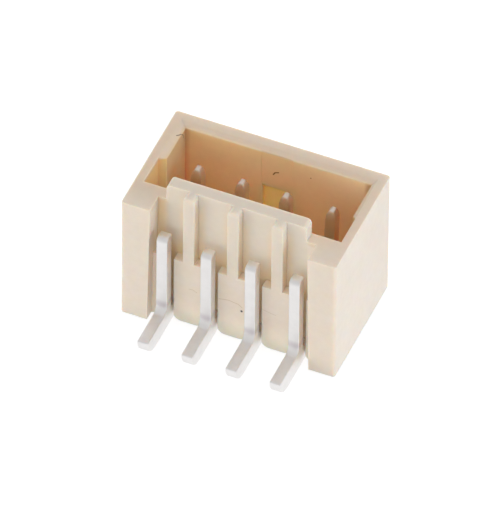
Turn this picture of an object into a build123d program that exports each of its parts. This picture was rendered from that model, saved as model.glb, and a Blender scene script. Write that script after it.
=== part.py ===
# Upright header for a printed board: one row of four contacts in a moulded shroud.
# Millimetres, +Z up. X runs along the row and -Y is the side the solder feet point to.
# z = 0 is the face of the board. The origin is the middle of the whole outline on the board.
from build123d import *
import os

# The row
PITCH = 2.0
WAYS = 4

# Shroud, outside
END_LENGTH = 1.86
HOUSING_DEPTH = 5.87
HOUSING_HEIGHT = 6.525
STANDOFF = 0.15
CORNER_RADIUS = 0.13

# Shroud, cavity
FRONT_WALL = 1.493
BACK_WALL = 0.64
END_WALL = 0.635
END_WALL_THIN = 0.39
THIN_WALL_RUN = 1.515
STEP_RUN = 0.23
REAR_SHIFT = 0.05
FLOOR_THICKNESS = 1.90
LEAD_IN_DEPTH = 0.17
LEAD_IN_BACK = 0.27
POCKET_WIDTH = 1.36
POCKET_TOP = 4.38
POCKET_DEPTH = 0.25
GROOVE_WIDTH = 1.42
GROOVE_DEPTH = 0.02

# Shroud, front face
RECESS_DEPTH = 0.93
PILLAR_WIDTH_TOP = 1.30
PILLAR_WIDTH_BOTTOM = 1.19
RIB_WIDTH = 0.51
RIB_DEPTH = 0.452
PAD_HEIGHT = 3.562
SLOT_WIDTH = 0.68
SLOT_MOUTH_RADIUS = 0.34
TONGUE_HEIGHT = 0.833
TONGUE_PAST_FIRST = 0.20
TONGUE_PAST_LAST = 0.13
TONGUE_CORNER = 0.20
TONGUE_EDGE = 0.20

# Contacts, cut from strip and set edge on
STRIP = 0.50
FOOT_REACH = 2.02
FOOT_HEIGHT = 0.937
TOE_RADIUS = 0.86
HEEL_RADIUS = 0.36
LEG_PROUD = 0.038
LEG_DEPTH = 0.51
LEG_TOP = 4.88
LEG_TOP_RADIUS = 0.25
POST_DEPTH = 0.50
POST_SETBACK = 3.837
POST_TOP = 5.77
POST_TIP_HEIGHT = 0.55
POST_TIP_WIDTH = 0.18
POST_TIP_DEPTH = 0.31
TAIL_RADIUS = 0.30
LAST_POST_LEAN = 0.11

# How much taller than LEG_TOP a leg stands, by its place in the row from 0
LEG_EXTRA = {0: 0.20, 2: 0.08, 3: 0.08}

# Shares that shape the post's bullet end, and the most of a narrow pad that may be rounding
BELLY_UP_SHARE = 0.62
BELLY_OUT_SHARE = 0.62
ROUNDING_SHARE = 0.95

# Where the faces lie
CONTACT_X = [(i - (WAYS - 1) / 2) * PITCH for i in range(WAYS)]
HALF_LENGTH = CONTACT_X[-1] + END_LENGTH
Y_TOE = -(FOOT_REACH + HOUSING_DEPTH) / 2
Y_FRONT = Y_TOE + FOOT_REACH
Y_BACK = Y_FRONT + HOUSING_DEPTH
Y_RECESS = Y_FRONT + RECESS_DEPTH
Y_CAVITY_FRONT = Y_FRONT + FRONT_WALL
Y_CAVITY_BACK = Y_BACK - BACK_WALL
Y_STEP = Y_CAVITY_FRONT + THIN_WALL_RUN
Y_LEG = Y_FRONT - LEG_PROUD
Y_POST = Y_FRONT + POST_SETBACK
Z_BOTTOM = STANDOFF
Z_RIM = Z_BOTTOM + HOUSING_HEIGHT
Z_FLOOR = Z_BOTTOM + FLOOR_THICKNESS
Z_PAD = Z_BOTTOM + PAD_HEIGHT
Z_TONGUE = Z_RIM + TONGUE_HEIGHT
Z_LEAD_IN = Z_RIM - LEAD_IN_DEPTH
Z_POCKET = Z_BOTTOM + POCKET_TOP
Z_POST = Z_BOTTOM + POST_TOP
REAR_LEFT = -HALF_LENGTH + END_WALL + REAR_SHIFT
REAR_RIGHT = HALF_LENGTH - END_WALL + REAR_SHIFT
CAVITY_HALF_WIDE = HALF_LENGTH - END_WALL_THIN
RECESS_HALF_TOP = HALF_LENGTH - PILLAR_WIDTH_TOP
RECESS_HALF_BOTTOM = HALF_LENGTH - PILLAR_WIDTH_BOTTOM


def front_plane(y):
    """Drawing plane seen from the front: X to the right, Z up, extruded towards -Y."""
    return Plane(origin=(0, y, 0), x_dir=(1, 0, 0), z_dir=(0, -1, 0))


def side_plane(x):
    """Drawing plane seen from the right: Y to the right, Z up, extruded towards +X."""
    return Plane(origin=(x, 0, 0), x_dir=(0, 1, 0), z_dir=(1, 0, 0))


def outline(*points):
    """Closed face through straight-line points."""
    return make_face(Polyline(*points, close=True))


def rectangle(low, high):
    """Face between two opposite corners."""
    return outline(low, (high[0], low[1]), high, (low[0], high[1]))


def rounded(face, radius, *corners):
    """The face with the vertices that lie at the given corners rounded."""
    picked = [
        v for v in face.vertices()
        if any(abs(v.X - c[0]) < 1e-6 and abs(v.Y - c[1]) < 1e-6 for c in corners)
    ]
    return fillet(picked, radius)


def recess_half_width(z):
    """Half width of the recess between the pillars at height z, with its moulding draft."""
    share = (z - Z_BOTTOM) / HOUSING_HEIGHT
    return RECESS_HALF_BOTTOM + (RECESS_HALF_TOP - RECESS_HALF_BOTTOM) * share


# Shroud block, upright edges slightly rounded
plan = rectangle((-HALF_LENGTH, Y_FRONT), (HALF_LENGTH, Y_BACK))
plan = fillet(plan.vertices(), CORNER_RADIUS)
housing = extrude(Pos(0, 0, Z_BOTTOM) * plan, amount=HOUSING_HEIGHT)

# Recess in the front, between the two end pillars
opening = outline(
    (-RECESS_HALF_BOTTOM, Z_BOTTOM),
    (RECESS_HALF_BOTTOM, Z_BOTTOM),
    (RECESS_HALF_TOP, Z_RIM),
    (-RECESS_HALF_TOP, Z_RIM),
)
housing -= extrude(front_plane(Y_RECESS) * opening, amount=RECESS_DEPTH)

# Pads low on the recess, parted by one slot behind each contact
slot_edges = []
for x in CONTACT_X:
    slot_edges += [x - SLOT_WIDTH / 2, x + SLOT_WIDTH / 2]
low_ends = [-RECESS_HALF_BOTTOM] + slot_edges + [RECESS_HALF_BOTTOM]
high_ends = [-recess_half_width(Z_PAD)] + slot_edges + [recess_half_width(Z_PAD)]
for i in range(0, len(low_ends), 2):
    pad = outline(
        (low_ends[i], Z_BOTTOM),
        (low_ends[i + 1], Z_BOTTOM),
        (high_ends[i + 1], Z_PAD),
        (high_ends[i], Z_PAD),
    )
    mouths = [(edge, Z_BOTTOM) for edge in low_ends[i:i + 2] if abs(edge) < RECESS_HALF_BOTTOM]
    radius = min(SLOT_MOUTH_RADIUS, (low_ends[i + 1] - low_ends[i]) * ROUNDING_SHARE)
    housing += extrude(front_plane(Y_RECESS) * rounded(pad, radius, *mouths), amount=RIB_DEPTH)

# Tongue above the rim, its front edge and its two ends rounded at the top
tongue_left = CONTACT_X[0] - TONGUE_PAST_FIRST
tongue_right = CONTACT_X[-1] + TONGUE_PAST_LAST
tongue_side = rectangle((Y_RECESS, Z_PAD), (Y_CAVITY_FRONT, Z_TONGUE))
tongue_side = rounded(tongue_side, TONGUE_EDGE, (Y_RECESS, Z_TONGUE))
tongue_front = rectangle((tongue_left, Z_PAD), (tongue_right, Z_TONGUE))
tongue_front = rounded(
    tongue_front, TONGUE_CORNER, (tongue_left, Z_TONGUE), (tongue_right, Z_TONGUE)
)
tongue = extrude(side_plane(tongue_left) * tongue_side, amount=tongue_right - tongue_left)
tongue &= extrude(front_plane(Y_CAVITY_FRONT) * tongue_front, amount=Y_CAVITY_FRONT - Y_RECESS)
housing += tongue

# Ribs from the tongue down to the pads, one between two contacts, rounded over at the top
for left, right in zip(CONTACT_X, CONTACT_X[1:]):
    middle = (left + right) / 2
    foot = rectangle(
        (middle - RIB_WIDTH / 2, Y_RECESS - RIB_DEPTH),
        (middle + RIB_WIDTH / 2, Y_RECESS + TONGUE_EDGE),
    )
    rib = extrude(Pos(0, 0, Z_PAD) * foot, amount=Z_TONGUE - Z_PAD)
    top_edges = rib.edges().filter_by(Plane.XY).group_by(Axis.Z)[-1].sort_by(Axis.Y)
    housing += fillet(top_edges[:3], TONGUE_EDGE)

# Cavity, wider near the front where the end walls are thin; its rear part sits a little to +X
cavity = outline(
    (-CAVITY_HALF_WIDE, Y_CAVITY_FRONT),
    (CAVITY_HALF_WIDE, Y_CAVITY_FRONT),
    (CAVITY_HALF_WIDE, Y_STEP),
    (REAR_RIGHT, Y_STEP + STEP_RUN),
    (REAR_RIGHT, Y_CAVITY_BACK),
    (REAR_LEFT, Y_CAVITY_BACK),
    (REAR_LEFT, Y_STEP + STEP_RUN),
    (-CAVITY_HALF_WIDE, Y_STEP),
)
housing -= extrude(Pos(0, 0, Z_FLOOR) * cavity, amount=Z_TONGUE - Z_FLOOR)

# Shallow lead-in around the back of the mouth, at the ends as wide as the step in the wall
mouth_low = rectangle((REAR_LEFT, Y_STEP + STEP_RUN), (REAR_RIGHT, Y_CAVITY_BACK))
mouth_high = rectangle(
    (-CAVITY_HALF_WIDE, Y_STEP), (CAVITY_HALF_WIDE, Y_CAVITY_BACK + LEAD_IN_BACK)
)
housing -= loft([Pos(0, 0, Z_LEAD_IN) * mouth_low, Pos(0, 0, Z_RIM) * mouth_high])

# Faint groove down the middle of the back wall, and a deeper pocket below it
groove = rectangle((-GROOVE_WIDTH / 2, Z_POCKET), (GROOVE_WIDTH / 2, Z_LEAD_IN))
housing -= extrude(front_plane(Y_CAVITY_BACK + GROOVE_DEPTH) * groove, amount=GROOVE_DEPTH)
pocket = rectangle((-POCKET_WIDTH / 2, Z_FLOOR), (POCKET_WIDTH / 2, Z_POCKET))
housing -= extrude(front_plane(Y_CAVITY_BACK + POCKET_DEPTH) * pocket, amount=POCKET_DEPTH)

# Groove under the floor and square hole through it, a close fit on each contact
for x in CONTACT_X:
    channel = rectangle((Y_RECESS, Z_BOTTOM), (Y_POST + POST_DEPTH / 2, FOOT_HEIGHT))
    housing -= extrude(side_plane(x - STRIP / 2) * channel, amount=STRIP)
    hole = rectangle((Y_POST - POST_DEPTH / 2, Z_BOTTOM), (Y_POST + POST_DEPTH / 2, Z_FLOOR))
    housing -= extrude(side_plane(x - STRIP / 2) * hole, amount=STRIP)


def post_outline(x_low, x_high, half, tip_half):
    """Post from the bar to its tip: upright in the floor, then straight or leaning, bullet-ended."""
    z_low = FOOT_HEIGHT / 2
    z_taper = Z_POST - POST_TIP_HEIGHT
    z_belly = z_taper + POST_TIP_HEIGHT * BELLY_UP_SHARE
    belly = tip_half + (half - tip_half) * BELLY_OUT_SHARE
    slope = (x_high - x_low) / (Z_POST - Z_FLOOR)
    x_taper = x_low + slope * (z_taper - Z_FLOOR)
    x_belly = x_low + slope * (z_belly - Z_FLOOR)
    sides = Polyline(
        (x_taper - half, z_taper),
        (x_low - half, Z_FLOOR),
        (x_low - half, z_low),
        (x_low + half, z_low),
        (x_low + half, Z_FLOOR),
        (x_taper + half, z_taper),
    )
    right = ThreePointArc(
        (x_taper + half, z_taper), (x_belly + belly, z_belly), (x_high + tip_half, Z_POST)
    )
    top = Line((x_high + tip_half, Z_POST), (x_high - tip_half, Z_POST))
    left = ThreePointArc(
        (x_high - tip_half, Z_POST), (x_belly - belly, z_belly), (x_taper - half, z_taper)
    )
    return make_face([sides, right, top, left])


# Contacts: foot and bar along the board, leg up the front, post up inside the cavity
contacts = []
for i, x in enumerate(CONTACT_X):
    z_leg = Z_BOTTOM + LEG_TOP + LEG_EXTRA.get(i, 0)
    blank = outline(
        (Y_TOE, 0),
        (Y_POST + POST_DEPTH / 2, 0),
        (Y_POST + POST_DEPTH / 2, FOOT_HEIGHT),
        (Y_LEG + LEG_DEPTH, FOOT_HEIGHT),
        (Y_LEG + LEG_DEPTH, z_leg),
        (Y_LEG, z_leg),
        (Y_LEG, FOOT_HEIGHT),
        (Y_TOE, FOOT_HEIGHT),
    )
    blank = rounded(blank, TOE_RADIUS, (Y_TOE, 0))
    blank = rounded(blank, HEEL_RADIUS, (Y_LEG, FOOT_HEIGHT))
    blank = rounded(blank, LEG_TOP_RADIUS, (Y_LEG, z_leg))
    blank = rounded(blank, TAIL_RADIUS, (Y_POST + POST_DEPTH / 2, 0))
    contact = extrude(side_plane(x - STRIP / 2) * blank, amount=STRIP)
    lean = LAST_POST_LEAN if x == CONTACT_X[-1] else 0
    side = post_outline(Y_POST, Y_POST, POST_DEPTH / 2, POST_TIP_DEPTH / 2)
    front = post_outline(x, x + lean, STRIP / 2, POST_TIP_WIDTH / 2)
    post = extrude(side_plane(x - PITCH / 2) * side, amount=PITCH)
    post &= extrude(front_plane(Y_POST + PITCH / 2) * front, amount=PITCH)
    contacts.append(contact + post)

os.makedirs("parts", exist_ok=True)
export_step(housing, "parts/housing.step")
for number, contact in enumerate(contacts, start=1):
    export_step(contact, f"parts/contact_{number}.step")
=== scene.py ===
import math

import bpy
from mathutils import Matrix, Vector


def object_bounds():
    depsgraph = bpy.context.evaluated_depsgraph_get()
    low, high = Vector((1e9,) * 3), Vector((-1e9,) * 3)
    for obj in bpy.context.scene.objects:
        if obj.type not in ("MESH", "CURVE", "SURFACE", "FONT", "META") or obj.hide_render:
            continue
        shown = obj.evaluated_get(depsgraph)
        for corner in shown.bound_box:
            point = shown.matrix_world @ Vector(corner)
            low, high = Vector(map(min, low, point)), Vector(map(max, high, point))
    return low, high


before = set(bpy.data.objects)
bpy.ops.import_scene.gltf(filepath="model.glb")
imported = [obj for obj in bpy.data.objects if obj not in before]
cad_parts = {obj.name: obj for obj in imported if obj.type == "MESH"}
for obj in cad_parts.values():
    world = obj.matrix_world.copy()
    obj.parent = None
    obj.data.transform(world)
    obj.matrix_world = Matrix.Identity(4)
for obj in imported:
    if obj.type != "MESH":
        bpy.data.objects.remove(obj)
cad_low, cad_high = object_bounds()

# Housing
# One moulding of ivory nylon, the kind that stands the heat of a solder oven. It lets light in:
# the walls of the mouth glow amber inside, mostly as painted light and shade in the base colour
# beside the real scattering below, and the outside looks paler and cooler.
MM = 0.001


def box(piece):
    """The lowest and the highest corner of a piece's mesh: the least and the most on each axis."""
    places = [vertex.co for vertex in piece.data.vertices]
    return [Vector(limit(values) for values in zip(*places)) for limit in (min, max)]


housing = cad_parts["housing"]
housing_low, housing_high = box(housing)

# Places on the housing, from its box: a tint changes just beyond the edge of the solid that
# bounds it
HOUSING_HALF = housing_high.x
HOUSING_FRONT = housing_low.y
RIM = housing_high.z - 0.833 * MM
PILLAR_CHEEK = HOUSING_HALF - 1.16 * MM
RECESS = HOUSING_FRONT + 0.93 * MM
TONGUE_HALF = HOUSING_HALF - 1.70 * MM
PAD_TOP = housing_low.z + 3.56 * MM
PAD_FACE = HOUSING_FRONT + 0.478 * MM
MOUTH_FRONT = HOUSING_FRONT + 1.485 * MM
MOUTH_BACK = housing_high.y - 0.345 * MM
MOUTH_HALF = HOUSING_HALF - 0.37 * MM
END_WALL = HOUSING_HALF - 0.72 * MM
STEP_FROM = MOUTH_FRONT + 1.47 * MM
STEP_TO = STEP_FROM + 0.30 * MM
BACK_WALL = housing_high.y - 0.62 * MM
POCKET_HALF = 0.69 * MM
POCKET_TOP = RIM - 2.135 * MM
POCKET_FLOOR = BACK_WALL + 0.095 * MM
PIN_PITCH = 2.0 * MM

# Widths of a crisp and a soft change of tint
CRISP = 0.02 * MM
SOFT = 0.1 * MM

# Colours of the nylon: its own two tones on the outside, then painted light and shade on the rim,
# in the recess and inside the mouth
IVORY = "#ECE2D7"
IVORY_WARM = "#E6D8C4"
RIM_PAINTED_SHADE = "#E4D1BA"
TONGUE_PAINTED_SHADE = "#E4DACB"
BESIDE_RIB_PAINTED_SHADE = "#EBDAC2"
CHEEK_PAINTED_LIGHT = "#FFEAD6"
SUNK_PAINTED_SHADE = "#E8D0AC"
PALE_FOOT_PAINTED_LIGHT = "#FFEEDC"
# Inside the mouth: painted light and shade, and a painted glow where the wall is thin
MOUTH_PAINTED_SHADE = "#E7CC9B"
DEEP_MOUTH_PAINTED_SHADE = "#F6DDAF"
RIGHT_MOUTH_PAINTED_LIGHT = "#F2DEB7"
END_WALL_PAINTED_SHADE = "#D7B488"
DEEP_END_WALL_PAINTED_SHADE = "#F0CB99"
THIN_WALL_PAINTED_GLOW = "#E6C78A"
SLANT_PAINTED_GLOW = "#E6CA94"
POCKET_PAINTED_GLOW = "#FFE6B1"

# Grain of the skin, and how far light goes into it. A noise node gives about 0.3 to 0.7
NOISE_LOW = 0.3
NOISE_HIGH = 0.7
CLOUD_SIZE = 1.3 * MM
CLOUD_ROUGHNESS = 0.72
MOTTLE_SIZE = 0.30 * MM
MOTTLE_DARK = 0.985
MOTTLE_LIGHT = 1.015
GRAIN_SIZE = 0.05 * MM
WAVE_SIZE = 0.9 * MM
WAVE_SHARE = 4.0
RELIEF_HEIGHT = 0.004 * MM
SMOOTH_SKIN = 0.42
ROUGH_SKIN = 0.62
NYLON_IOR = 1.53
REACH = 0.22 * MM
REACH_INSIDE = 0.60 * MM
REACH_OF_RED_GREEN_BLUE = (1.0, 0.7, 0.45)

# Sockets of a Mix node that mixes colours
COLOUR_A, COLOUR_B, MIXED = 6, 7, 2


def colour(code):
    """An sRGB hex code as the linear colour that a shader socket takes."""
    values = [int(code[i:i + 2], 16) / 255 for i in (1, 3, 5)]
    return [v / 12.92 if v <= 0.04045 else ((v + 0.055) / 1.055) ** 2.4 for v in values] + [1.0]


def add(tree, kind, sockets=None, **settings):
    """Adds a node. sockets maps an input's name or number to a value or to another node's output."""
    node = tree.nodes.new(kind)
    for name, value in settings.items():
        setattr(node, name, value)
    for key, value in (sockets or {}).items():
        if isinstance(value, bpy.types.NodeSocket):
            tree.links.new(value, node.inputs[key])
        else:
            node.inputs[key].default_value = value
    return node


def empty_tree(owner):
    """The node tree of a new material or world, with nothing in it."""
    owner.use_nodes = True
    owner.node_tree.nodes.clear()
    return owner.node_tree


def zone(tree, *spans, within=1.0):
    """The product of smooth steps: each span (value, start, end) is 0 at start and 1 at end."""
    product = within
    for value, start, end in spans:
        step = add(
            tree, "ShaderNodeMapRange", {"Value": value, "From Min": start, "From Max": end},
            interpolation_type="SMOOTHSTEP",
        )
        product = add(
            tree, "ShaderNodeMath", {0: step.outputs[0], 1: product}, operation="MULTIPLY",
        ).outputs[0]
    return product


ivory = bpy.data.materials.new("heat_resistant_nylon_moulded_ivory")
tree = empty_tree(ivory)
place = add(tree, "ShaderNodeTexCoord").outputs["Object"]
axis = add(tree, "ShaderNodeSeparateXYZ", {0: place}).outputs
side = add(tree, "ShaderNodeMath", {0: axis["X"]}, operation="ABSOLUTE").outputs[0]
from_rib = add(
    tree, "ShaderNodeMath", {0: axis["X"], 1: PIN_PITCH / 2}, operation="PINGPONG",
).outputs[0]

# Front wall, painted light and shade: the tongue is painted a little greyer, as painted shade.
# Beside the ribs, low in the recess and at its left end, a warm painted shade stands in for the
# shade there and the light that has been through the nylon; the inner cheeks of the pillars get a
# warm painted light. Next to the board the skin is painted paler, as painted light from the floor.
# Each pair is where a tint starts and where it is whole.
TONGUE_FROM, TONGUE_WHOLE = PAD_TOP, PAD_TOP + 1.3 * MM
RIB_GLOW_FROM, RIB_GLOW_WHOLE = 0.75 * MM, 0.35 * MM
RIB_GLOW_OUT, RIB_GLOW_IN = RECESS - 0.40 * MM, RECESS - 0.25 * MM
RIB_GLOW_TOP, RIB_GLOW_LOW = RIM + 0.6 * MM, RIM - 0.6 * MM
RIB_GLOW_HALF = 2.8 * MM
CHEEK_OUTER_FROM, CHEEK_OUTER_WHOLE = PILLAR_CHEEK + 0.10 * MM, PILLAR_CHEEK + 0.06 * MM
CHEEK_INNER_FROM, CHEEK_INNER_WHOLE = PILLAR_CHEEK - 0.20 * MM, PILLAR_CHEEK - 0.14 * MM
CHEEK_FRONT, CHEEK_WHOLE = HOUSING_FRONT + 0.015 * MM, HOUSING_FRONT + 0.175 * MM
CHEEK_TOP, CHEEK_LOW = PAD_TOP + 1.39 * MM, PAD_TOP - 0.41 * MM
CORNER_FROM, CORNER_WHOLE = -3.0 * MM, -3.4 * MM
PALE_FROM, PALE_WHOLE = 1.9 * MM, 0.3 * MM

before_mouth = (axis["Y"], MOUTH_FRONT, MOUTH_FRONT - SOFT)
behind_pads = (axis["Y"], RECESS - SOFT, RECESS)
between_pillars = (side, PILLAR_CHEEK + CRISP, PILLAR_CHEEK)
# painted shade: the tongue's face a little greyer
tongue = zone(
    tree,
    (side, TONGUE_HALF + 2 * CRISP, TONGUE_HALF),
    before_mouth,
    (axis["Z"], TONGUE_FROM, TONGUE_WHOLE),
)
# painted shade, warm, on the recess beside each rib
beside_ribs_painted_shade = zone(
    tree,
    (from_rib, RIB_GLOW_FROM, RIB_GLOW_WHOLE),
    (side, RIB_GLOW_HALF + SOFT, RIB_GLOW_HALF),
    (axis["Y"], RIB_GLOW_OUT, RIB_GLOW_IN),
    before_mouth,
    (axis["Z"], RIB_GLOW_TOP, RIB_GLOW_LOW),
)
# painted light, warm, on the inner cheeks of the pillars
cheek_painted_light = zone(
    tree,
    (side, CHEEK_OUTER_FROM, CHEEK_OUTER_WHOLE),
    (side, CHEEK_INNER_FROM, CHEEK_INNER_WHOLE),
    (axis["Y"], CHEEK_FRONT, CHEEK_WHOLE),
    (axis["Y"], RECESS, RECESS - 2 * CRISP),
    (axis["Z"], CHEEK_TOP, CHEEK_LOW),
)
# painted shade, warm, low in the recess behind the pads
sunk_painted_shade = zone(
    tree,
    between_pillars,
    behind_pads,
    before_mouth,
    (axis["Z"], TONGUE_WHOLE, TONGUE_FROM),
)
# painted shade, warm, at the left end of the recess
left_corner_painted_shade = zone(
    tree,
    (axis["X"], -PILLAR_CHEEK - CRISP, -PILLAR_CHEEK),
    (axis["X"], CORNER_FROM, CORNER_WHOLE),
    behind_pads,
    before_mouth,
    (axis["Z"], RIM, RIM - 2 * SOFT),
)
# painted light from the floor on the skin next to the board
low = zone(tree, between_pillars, before_mouth, (axis["Z"], PALE_FROM, PALE_WHOLE))

# The rim is painted warmer than the sides, a painted shade on its top face, and less so towards its
# front, its back and its right end, where more light falls. These fades start beyond the housing, so
# that each of its edges keeps some of the tint.
RIM_RIGHT, RIM_RIGHT_WHOLE = 6.4 * MM, 3.6 * MM
RIM_FRONT, RIM_FRONT_WHOLE = -2.4 * MM, 0.0
RIM_BACK, RIM_BACK_WHOLE = 5.2 * MM, 2.6 * MM
LEAD_IN = 0.24 * MM
# painted shade on the rim's top face
rim = zone(
    tree,
    (axis["X"], RIM_RIGHT, RIM_RIGHT_WHOLE),
    (side, HOUSING_HALF - CRISP, HOUSING_HALF - 3 * CRISP),
    (axis["Y"], RIM_FRONT, RIM_FRONT_WHOLE),
    (axis["Y"], RIM_BACK, RIM_BACK_WHOLE),
    (axis["Z"], RIM - LEAD_IN, RIM - LEAD_IN + SOFT),
    (axis["Z"], RIM + 2 * CRISP, RIM + CRISP),
)

# Inside the mouth, painted light and shade: amber that is deepest from 2.4 mm below the rim, paler
# to the right, browner on the end walls, and golden where the wall is thin, as a painted glow of
# light that has come through the nylon
AMBER_FROM, AMBER_WHOLE = RIM - 0.08 * MM, RIM - 0.30 * MM
DEEPER_FROM, DEEPER_WHOLE = RIM - 0.2 * MM, RIM - 2.4 * MM
RIGHTWARD_FROM, RIGHTWARD_WHOLE = 0.0, 4.3 * MM
END_FROM, END_WHOLE = END_WALL - 0.24 * MM, END_WALL + 0.01 * MM
# where the painted amber of the mouth goes, and where light reaches further into the nylon
inside = zone(
    tree,
    (side, MOUTH_HALF + CRISP, MOUTH_HALF - CRISP),
    (axis["Y"], MOUTH_FRONT - CRISP, MOUTH_FRONT + CRISP),
    (axis["Y"], MOUTH_BACK + CRISP, MOUTH_BACK - CRISP),
    (axis["Z"], AMBER_FROM, AMBER_WHOLE),
)
deeper = zone(tree, (axis["Z"], DEEPER_FROM, DEEPER_WHOLE))
rightward = zone(tree, (axis["X"], RIGHTWARD_FROM, RIGHTWARD_WHOLE))
# painted shade, browner, on the end walls of the mouth
end = zone(tree, (side, END_FROM, END_WHOLE), within=inside)
at_end_wall = (side, END_WALL - CRISP, END_WALL + CRISP)
before_step = (axis["Y"], STEP_TO + CRISP, STEP_TO - CRISP)
from_step = (axis["Y"], STEP_FROM - SOFT / 2, STEP_FROM + SOFT / 2)
# painted glow of light through the thin end wall, toned down on the slanted step face that catches
# more light
thin_end = zone(tree, at_end_wall, before_step, within=inside)
slant = zone(tree, at_end_wall, from_step, before_step, within=inside)
# painted glow in the pocket, from light that comes through the thin back wall
pocket = zone(
    tree,
    (side, POCKET_HALF + CRISP / 2, POCKET_HALF - CRISP / 2),
    (axis["Z"], POCKET_TOP + CRISP / 2, POCKET_TOP - CRISP / 2),
    (axis["Y"], POCKET_FLOOR - CRISP, POCKET_FLOOR + CRISP),
    within=inside,
)

clouds = add(tree, "ShaderNodeTexNoise", {
    "Vector": place, "Scale": 1 / CLOUD_SIZE, "Detail": 5.0, "Roughness": CLOUD_ROUGHNESS,
}).outputs[0]
# outside is the nylon's own uneven tone; mouth and end are painted light and shade
blends = {}
for name, share, first, second in (
    ("outside", clouds, IVORY, IVORY_WARM),
    ("mouth", deeper, MOUTH_PAINTED_SHADE, DEEP_MOUTH_PAINTED_SHADE),
    ("end", deeper, END_WALL_PAINTED_SHADE, DEEP_END_WALL_PAINTED_SHADE),
):
    blends[name] = add(
        tree, "ShaderNodeMix", {0: share, COLOUR_A: colour(first), COLOUR_B: colour(second)},
        data_type="RGBA",
    ).outputs[MIXED]
blends["mouth"] = add(
    tree, "ShaderNodeMix", {0: rightward, COLOUR_A: blends["mouth"], COLOUR_B: colour(RIGHT_MOUTH_PAINTED_LIGHT)},
    data_type="RGBA",
).outputs[MIXED]
tint = blends["outside"]
# Each tint layered here is painted light and shade in the base colour
for mask, shade in (
    (rim, colour(RIM_PAINTED_SHADE)),
    (tongue, colour(TONGUE_PAINTED_SHADE)),
    (beside_ribs_painted_shade, colour(BESIDE_RIB_PAINTED_SHADE)),
    (cheek_painted_light, colour(CHEEK_PAINTED_LIGHT)),
    (sunk_painted_shade, colour(SUNK_PAINTED_SHADE)),
    (left_corner_painted_shade, colour(SUNK_PAINTED_SHADE)),
    (low, colour(PALE_FOOT_PAINTED_LIGHT)),
    (inside, blends["mouth"]),
    (end, blends["end"]),
    (thin_end, colour(THIN_WALL_PAINTED_GLOW)),
    (slant, colour(SLANT_PAINTED_GLOW)),
    (pocket, colour(POCKET_PAINTED_GLOW)),
):
    tint = add(
        tree, "ShaderNodeMix", {0: mask, COLOUR_A: tint, COLOUR_B: shade}, data_type="RGBA",
    ).outputs[MIXED]

# The pigment isn't quite even
mottle = add(tree, "ShaderNodeTexNoise", {"Vector": place, "Scale": 1 / MOTTLE_SIZE, "Detail": 2.0})
pigment = add(tree, "ShaderNodeMapRange", {
    "Value": mottle.outputs[0], "From Min": NOISE_LOW, "From Max": NOISE_HIGH,
    "To Min": MOTTLE_DARK, "To Max": MOTTLE_LIGHT,
})
tint = add(
    tree, "ShaderNodeMix", {0: 1.0, COLOUR_A: tint, COLOUR_B: pigment.outputs[0]},
    data_type="RGBA", blend_type="MULTIPLY", clamp_result=True,
).outputs[MIXED]

# Dirt and flow lines. Each mark is a line of a colour and a half width through points in mm
BACK = BACK_WALL / MM
PAD = PAD_FACE / MM
MARKS = [
    # a hair caught on the left rim
    ("#6B5545", 0.017, [
        (-4.31, 2.66, 6.58), (-4.23, 2.78, 6.54), (-4.19, 2.87, 6.51),
        (-4.175, 3.06, 6.30), (-4.175, 3.09, 6.11),
    ]),
    # a speck and a dot on the back wall of the mouth
    ("#84592A", 0.028, [(-0.18, BACK, 5.31), (-0.10, BACK, 5.45), (0.055, BACK, 5.51)]),
    ("#9A6C38", 0.025, [(1.52, BACK - 0.02, 5.79), (1.53, BACK - 0.02, 5.80)]),
    # a dot on the third pad
    ("#2A2622", 0.050, [(0.43, PAD, 1.85), (0.43, PAD, 1.86)]),
    # lines on the pads where two streams of nylon met
    ("#D2C2A8", 0.015, [(-1.96, PAD, 2.21), (-1.80, PAD, 2.23), (-1.60, PAD, 2.13)]),
    ("#CDBC9F", 0.015, [
        (-0.60, PAD, 2.19), (-0.39, PAD, 2.24), (-0.16, PAD, 2.28),
        (0.06, PAD, 2.24), (0.29, PAD, 2.21), (0.45, PAD, 2.07),
    ]),
    ("#D8CAB2", 0.015, [(1.38, PAD, 2.36), (1.65, PAD, 2.29), (1.97, PAD, 2.24)]),
]


def nearness(tree, points):
    """Distance from a line through points, in metres: the least over its straight pieces."""
    least = 1.0
    for start, stop in zip(points, points[1:]):
        start = Vector(start) * MM
        run = Vector(stop) * MM - start
        from_start = add(tree, "ShaderNodeVectorMath", {0: place, 1: start}, operation="SUBTRACT")
        along = add(
            tree, "ShaderNodeVectorMath", {0: from_start.outputs[0], 1: run / run.length_squared},
            operation="DOT_PRODUCT",
        )
        share = add(tree, "ShaderNodeClamp", {0: along.outputs["Value"]})
        nearest = add(
            tree, "ShaderNodeVectorMath", {0: run, "Scale": share.outputs[0]}, operation="SCALE",
        )
        gap = add(
            tree, "ShaderNodeVectorMath", {0: from_start.outputs[0], 1: nearest.outputs[0]},
            operation="DISTANCE",
        )
        least = add(
            tree, "ShaderNodeMath", {0: gap.outputs["Value"], 1: least}, operation="MINIMUM",
        ).outputs[0]
    return least


for code, half_width, points in MARKS:
    # its edge fades from one and a half times the half width to half of it
    mark = zone(tree, (nearness(tree, points), half_width * 1.5 * MM, half_width * 0.5 * MM))
    tint = add(
        tree, "ShaderNodeMix", {0: mark, COLOUR_A: tint, COLOUR_B: colour(code)}, data_type="RGBA",
    ).outputs[MIXED]

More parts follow.
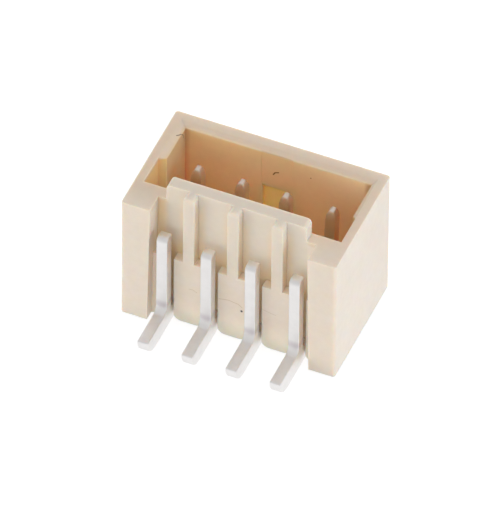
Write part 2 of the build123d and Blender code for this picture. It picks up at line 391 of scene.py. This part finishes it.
# The spark-eroded mould leaves a grain of a few hundredths of a millimetre and a slight waviness
SOFT_EDGE = 0.05 * MM
SOFT_EDGE_SAMPLES = 6
grain = add(tree, "ShaderNodeTexNoise", {"Vector": place, "Scale": 1 / GRAIN_SIZE, "Detail": 4.0})
waves = add(tree, "ShaderNodeTexNoise", {"Vector": place, "Scale": 1 / WAVE_SIZE, "Detail": 2.0})
relief = add(
    tree, "ShaderNodeMath", {0: waves.outputs[0], 1: WAVE_SHARE, 2: grain.outputs[0]},
    operation="MULTIPLY_ADD",
)
soft = add(tree, "ShaderNodeBevel", {"Radius": SOFT_EDGE}, samples=SOFT_EDGE_SAMPLES)
bump = add(tree, "ShaderNodeBump", {
    "Height": relief.outputs[0], "Distance": RELIEF_HEIGHT, "Strength": 1.0,
    "Normal": soft.outputs[0],
})
rough = add(tree, "ShaderNodeMapRange", {
    "Value": grain.outputs[0], "To Min": SMOOTH_SKIN, "To Max": ROUGH_SKIN,
})
reach = add(tree, "ShaderNodeMapRange", {"Value": inside, "To Min": REACH, "To Max": REACH_INSIDE})
surface = add(tree, "ShaderNodeBsdfPrincipled", {
    "Base Color": tint,
    "Roughness": rough.outputs[0],
    "Normal": bump.outputs[0],
    "IOR": NYLON_IOR,
    "Subsurface Weight": 1.0,
    "Subsurface Radius": REACH_OF_RED_GREEN_BLUE,
    "Subsurface Scale": reach.outputs[0],
})
add(tree, "ShaderNodeOutputMaterial", {"Surface": surface.outputs[0]})

WELD_REACH = 0.002 * MM
FLAT_ANGLE = math.radians(1.0)
SHARP_ANGLE = math.radians(35)
HOUSING_EDGE = 0.035 * MM
HOUSING_EDGE_STEPS = 3
LARGE_FACES_FIRST = 100


def dress(piece, material, edge, steps):
    """Gives a CAD node its material and rounds its sharp edges, with its mesh left as it is:
    weld, join flats, bevel, shade."""
    piece.data.materials.clear()
    piece.data.materials.append(material)
    weld = piece.modifiers.new("weld", "WELD")
    weld.merge_threshold = WELD_REACH
    flats = piece.modifiers.new("flats", "DECIMATE")
    flats.decimate_type = "DISSOLVE"
    flats.angle_limit = FLAT_ANGLE
    bevel = piece.modifiers.new("edges", "BEVEL")
    bevel.width = edge
    bevel.segments = steps
    bevel.limit_method = "ANGLE"
    bevel.angle_limit = SHARP_ANGLE
    bevel.miter_outer = "MITER_ARC"
    shade = piece.modifiers.new("shade", "WEIGHTED_NORMAL")
    shade.keep_sharp = False
    shade.weight = LARGE_FACES_FIRST


# The housing's shortest edges hold its bevel to about 0.001 mm, so the soft normals above, and not
# the bevel, make its edges look round
dress(housing, ivory, HOUSING_EDGE, HOUSING_EDGE_STEPS)

# Contacts
# Four blanks of copper alloy strip set on edge, tin plated after blanking. The plate is matt and
# nearly white; a painted shade makes it a little duller at the heel, and a warm painted reflection
# tints the pin. Blanking rounds the edges slightly.
TIN = "#FCFAF9"
TIN_DULL = "#F1EFEE"
# painted shade at the heel and painted reflection on the pin
TIN_HEEL_PAINTED_SHADE = "#E6E1E3"
TIN_PIN_PAINTED_REFLECTION = "#E9DCD2"
CONTACT_EDGE = 0.05 * MM
CONTACT_EDGE_STEPS = 2
PIN_FROM = 1.5 * MM
HEEL_LOW, HEEL_LOW_WHOLE = 1.08 * MM, 1.34 * MM
HEEL_HIGH, HEEL_HIGH_WHOLE = 1.70 * MM, 1.38 * MM
PIN_ROUGHNESS = 0.46
PLATE_SMOOTH = 0.46
PLATE_ROUGH = 0.60
PLATE_CLOUD_SIZE = 0.35 * MM
CRYSTAL_SIZE = 0.03 * MM
CRYSTAL_HEIGHT = 0.003 * MM

tin = bpy.data.materials.new("matt_tin_plate_on_copper_alloy")
tree = empty_tree(tin)
place = add(tree, "ShaderNodeTexCoord").outputs["Object"]
axis = add(tree, "ShaderNodeSeparateXYZ", {0: place}).outputs
clouds = add(tree, "ShaderNodeTexNoise", {
    "Vector": place, "Scale": 1 / PLATE_CLOUD_SIZE, "Detail": 4.0,
}).outputs[0]
# painted shade at the bend of the heel
heel = zone(
    tree, (axis["Z"], HEEL_LOW, HEEL_LOW_WHOLE), (axis["Z"], HEEL_HIGH, HEEL_HIGH_WHOLE),
)
# warm painted reflection on the pin
pin = zone(tree, (axis["Y"], PIN_FROM, PIN_FROM + SOFT))
plate = colour(TIN)
for mask, code in ((clouds, TIN_DULL), (heel, TIN_HEEL_PAINTED_SHADE), (pin, TIN_PIN_PAINTED_REFLECTION)):
    plate = add(
        tree, "ShaderNodeMix", {0: mask, COLOUR_A: plate, COLOUR_B: colour(code)}, data_type="RGBA",
    ).outputs[MIXED]
# The crystals of real tin plate are finer, about 0.005 mm: these are as coarse as they need to be
# to show
crystals = add(tree, "ShaderNodeTexNoise", {
    "Vector": place, "Scale": 1 / CRYSTAL_SIZE, "Detail": 3.0,
}).outputs[0]
bump = add(tree, "ShaderNodeBump", {
    "Height": crystals, "Distance": CRYSTAL_HEIGHT, "Strength": 1.0,
})
rough = add(tree, "ShaderNodeMapRange", {
    "Value": crystals, "To Min": PLATE_SMOOTH, "To Max": PLATE_ROUGH,
})
rough = add(tree, "ShaderNodeMapRange", {
    "Value": pin, "To Min": rough.outputs[0], "To Max": PIN_ROUGHNESS,
})
surface = add(tree, "ShaderNodeBsdfPrincipled", {
    "Base Color": plate,
    "Metallic": 1.0,
    "Roughness": rough.outputs[0],
    "Normal": bump.outputs[0],
})
add(tree, "ShaderNodeOutputMaterial", {"Surface": surface.outputs[0]})
for name, node in sorted(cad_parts.items()):
    if name.startswith("contact_"):
        dress(node, tin, CONTACT_EDGE, CONTACT_EDGE_STEPS)

# Floor and backdrop
# A plain white sheet. It takes the light and the part's soft shadow; the camera sees it lifted
# to white and the metal mirrors it as white.
FLOOR_HALF = 0.4
FLOOR_WHITE = "#FAFAFA"
FLOOR_SHADED = "#9B9B9B"
FLOOR_LIFT = 0.82
WHITE = (1, 1, 1, 1)

sheet = bpy.data.meshes.new("floor")
sheet.from_pydata(
    [(-FLOOR_HALF, -FLOOR_HALF, 0), (FLOOR_HALF, -FLOOR_HALF, 0),
     (FLOOR_HALF, FLOOR_HALF, 0), (-FLOOR_HALF, FLOOR_HALF, 0)],
    [], [(0, 1, 2, 3)],
)
floor = bpy.data.objects.new("floor", sheet)
bpy.context.scene.collection.objects.link(floor)
paper = bpy.data.materials.new("white_paper_sheet")
tree = empty_tree(paper)
path = add(tree, "ShaderNodeLightPath").outputs
matt = add(tree, "ShaderNodeBsdfDiffuse", {"Color": colour(FLOOR_WHITE)})
shaded = add(tree, "ShaderNodeBsdfDiffuse", {"Color": colour(FLOOR_SHADED)})
lift = add(tree, "ShaderNodeEmission", {"Color": WHITE, "Strength": FLOOR_LIFT})
mirrored = add(tree, "ShaderNodeEmission", {"Color": WHITE, "Strength": 1.0})
seen = add(tree, "ShaderNodeAddShader", {0: shaded.outputs[0], 1: lift.outputs[0]})
face = matt
for ray, look in (("Is Camera Ray", seen), ("Is Glossy Ray", mirrored)):
    face = add(tree, "ShaderNodeMixShader", {0: path[ray], 1: face.outputs[0], 2: look.outputs[0]})
add(tree, "ShaderNodeOutputMaterial", {"Surface": face.outputs[0]})
sheet.materials.append(paper)

# Light
# A soft tent: an even pale surround and five broad lamps. The three low ones, in front and to the
# sides, make the upright faces brighter than the rim. The one above lights the mouth, and the one
# behind shines through the back wall.
SURROUND = 0.49
MIRRORED_SURROUND = 0.68
LAMP_DISTANCE = 0.25
LAMP_SIZE = 0.16
LAMPS = [
    # name, azimuth from the front, elevation, watts, colour
    ("right", 90, 10, 0.345, "#EBF3FF"),
    ("front", 0, 10, 0.098, "#FFFFFF"),
    ("left", -45, 10, 0.215, "#FFFFFF"),
    ("above", 0, 62, 0.078, "#FFFFFF"),
    ("back", 180, 4, 0.470, "#FFFFFF"),
]

world = bpy.data.worlds.new("surround")
tree = empty_tree(world)
bpy.context.scene.world = world
path = add(tree, "ShaderNodeLightPath").outputs
around = add(tree, "ShaderNodeBackground", {"Color": WHITE, "Strength": SURROUND})
for ray, strength in (("Is Glossy Ray", MIRRORED_SURROUND), ("Is Camera Ray", 1.0)):
    look = add(tree, "ShaderNodeBackground", {"Color": WHITE, "Strength": strength})
    around = add(
        tree, "ShaderNodeMixShader", {0: path[ray], 1: around.outputs[0], 2: look.outputs[0]},
    )
add(tree, "ShaderNodeOutputWorld", {"Surface": around.outputs[0]})


def towards(azimuth, elevation):
    """The unit vector that points from the part to an azimuth from its front and an elevation."""
    return Vector((
        math.sin(azimuth) * math.cos(elevation),
        -math.cos(azimuth) * math.cos(elevation),
        math.sin(elevation),
    ))


centre = (cad_low + cad_high) / 2
for name, azimuth, elevation, watts, tone in LAMPS:
    away = towards(math.radians(azimuth), math.radians(elevation))
    data = bpy.data.lights.new(name, "AREA")
    data.size = LAMP_SIZE
    data.energy = watts
    data.color = colour(tone)[:3]
    lamp = bpy.data.objects.new(name, data)
    lamp.location = centre + away * LAMP_DISTANCE
    lamp.rotation_mode = "QUATERNION"
    lamp.rotation_quaternion = (-away).to_track_quat("-Z", "Y")
    lamp.visible_glossy = False
    bpy.context.scene.collection.objects.link(lamp)

# Camera
# The photograph is a close view from above the feet and a little to the right of them, with a
# long lens, so the lines along the row stay almost parallel.
PHOTO_WIDTH = 500
PHOTO_HEIGHT = 510
VIEW_AZIMUTH = math.radians(22.521)
VIEW_ELEVATION = math.radians(45.715)
VIEW_ROLL = math.radians(0.639)
VIEW_DISTANCE = 0.7235
VIEW_AIM = Vector((0.0, 0.99 * MM, 3.418 * MM))
AIM_PIXEL = (255.15, 243.98)
PIXELS_PER_MM = 23.907
SENSOR_WIDTH = 36.0
NEAREST_SEEN = 0.01
FARTHEST_SEEN = 5.0

away = towards(VIEW_AZIMUTH, VIEW_ELEVATION)
level_right = Vector((math.cos(VIEW_AZIMUTH), math.sin(VIEW_AZIMUTH), 0.0))
level_up = away.cross(level_right)
right = math.cos(VIEW_ROLL) * level_right + math.sin(VIEW_ROLL) * level_up
up = math.cos(VIEW_ROLL) * level_up - math.sin(VIEW_ROLL) * level_right
camera_data = bpy.data.cameras.new("camera")
camera = bpy.data.objects.new("camera", camera_data)
bpy.context.scene.collection.objects.link(camera)
turn = Matrix((right, up, away)).transposed().to_4x4()
camera.matrix_world = Matrix.Translation(VIEW_AIM + away * VIEW_DISTANCE) @ turn
long_side = max(PHOTO_WIDTH, PHOTO_HEIGHT)
camera_data.sensor_width = SENSOR_WIDTH
camera_data.lens = PIXELS_PER_MM / MM * VIEW_DISTANCE * SENSOR_WIDTH / long_side
camera_data.shift_x = (PHOTO_WIDTH / 2 - AIM_PIXEL[0]) / long_side
camera_data.shift_y = (AIM_PIXEL[1] - PHOTO_HEIGHT / 2) / long_side
camera_data.clip_start = NEAREST_SEEN
camera_data.clip_end = FARTHEST_SEEN
bpy.context.scene.camera = camera
bpy.context.scene.view_settings.view_transform = "Standard"
